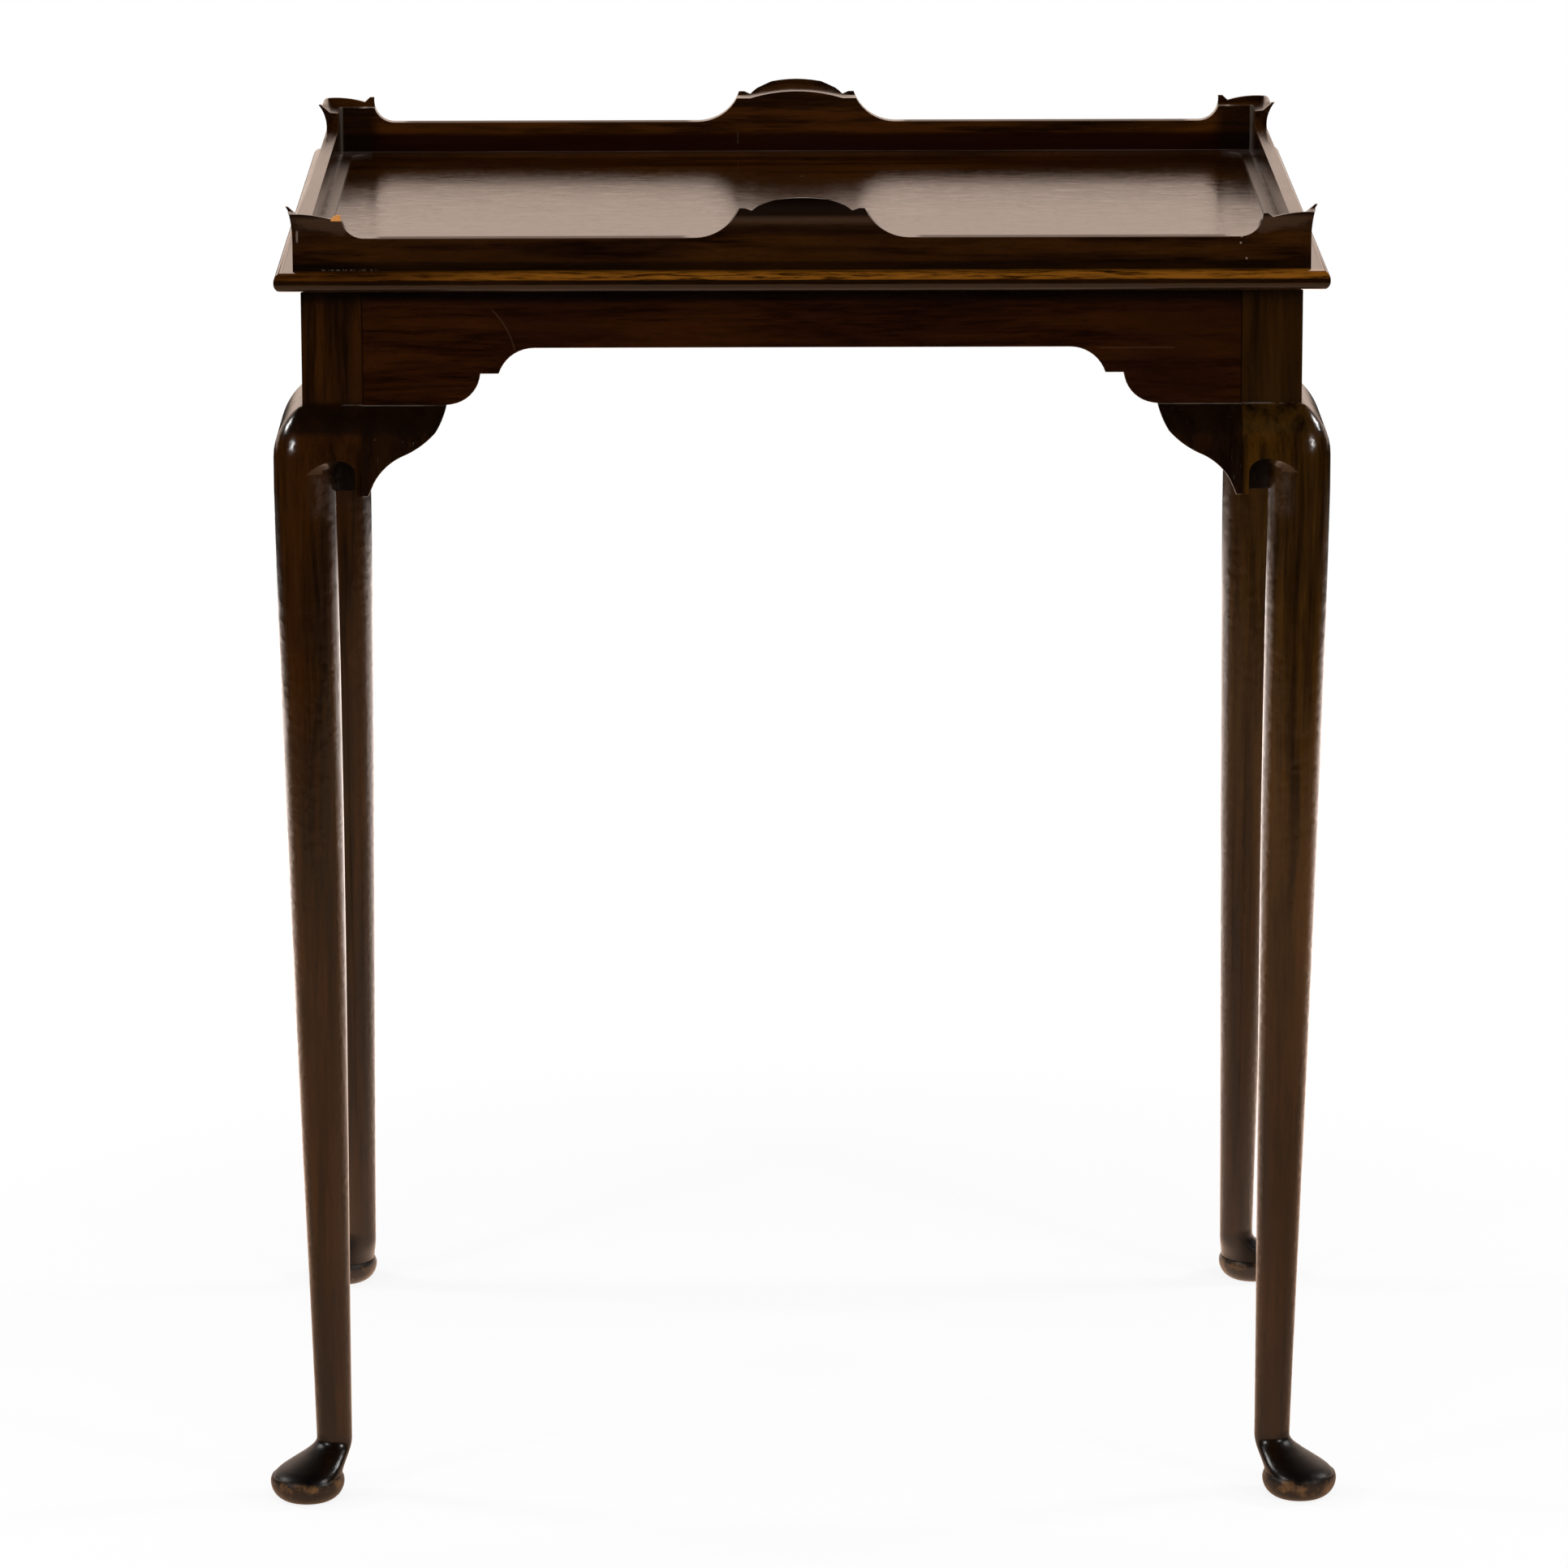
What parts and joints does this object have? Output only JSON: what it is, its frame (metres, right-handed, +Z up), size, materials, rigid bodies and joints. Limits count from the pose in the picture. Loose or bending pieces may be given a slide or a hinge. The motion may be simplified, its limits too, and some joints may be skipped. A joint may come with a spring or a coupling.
{
  "type": "tray top tea table",
  "caption": "Rectangular tea table: a tray top with a scalloped gallery round a sunk field, on shaped aprons and slender cabriole legs with round pad feet.",
  "frame": {"origin": "on the floor, under the centre of the table", "axes": "+Z up; +X to the right along the long side as seen from the front; +Y from front to back"},
  "size_m": [0.5576, 0.4356, 0.6878],
  "materials": {
    "board": "polished dark mahogany",
    "gallery": "polished dark mahogany",
    "apron": "polished dark mahogany",
    "leg": "polished dark mahogany",
    "bracket": "polished dark mahogany",
    "inner_wood": "bare pine, darkened",
    "pin": "dull steel",
    "screw": "dull steel"
  },
  "bodies": {
    "root": {"tray_board": "board", "gallery_front": "gallery", "apron_front": "apron", "gallery_right": "gallery", "apron_right": "apron", "gallery_back": "gallery", "apron_back": "apron", "gallery_left": "gallery", "apron_left": "apron", "leg_front_left": "leg", "knee_bracket_front_left_front": "bracket", "knee_bracket_front_left_left": "bracket", "corner_block_front_left": "inner_wood", "leg_front_right": "leg", "knee_bracket_front_right_front": "bracket", "knee_bracket_front_right_right": "bracket", "corner_block_front_right": "inner_wood", "leg_back_right": "leg", "knee_bracket_back_right_back": "bracket", "knee_bracket_back_right_right": "bracket", "corner_block_back_right": "inner_wood", "leg_back_left": "leg", "knee_bracket_back_left_back": "bracket", "knee_bracket_back_left_left": "bracket", "corner_block_back_left": "inner_wood", "gallery_pins": "pin", "top_screws": "screw", "glue_blocks": "inner_wood"}
  },
  "joints": []
}
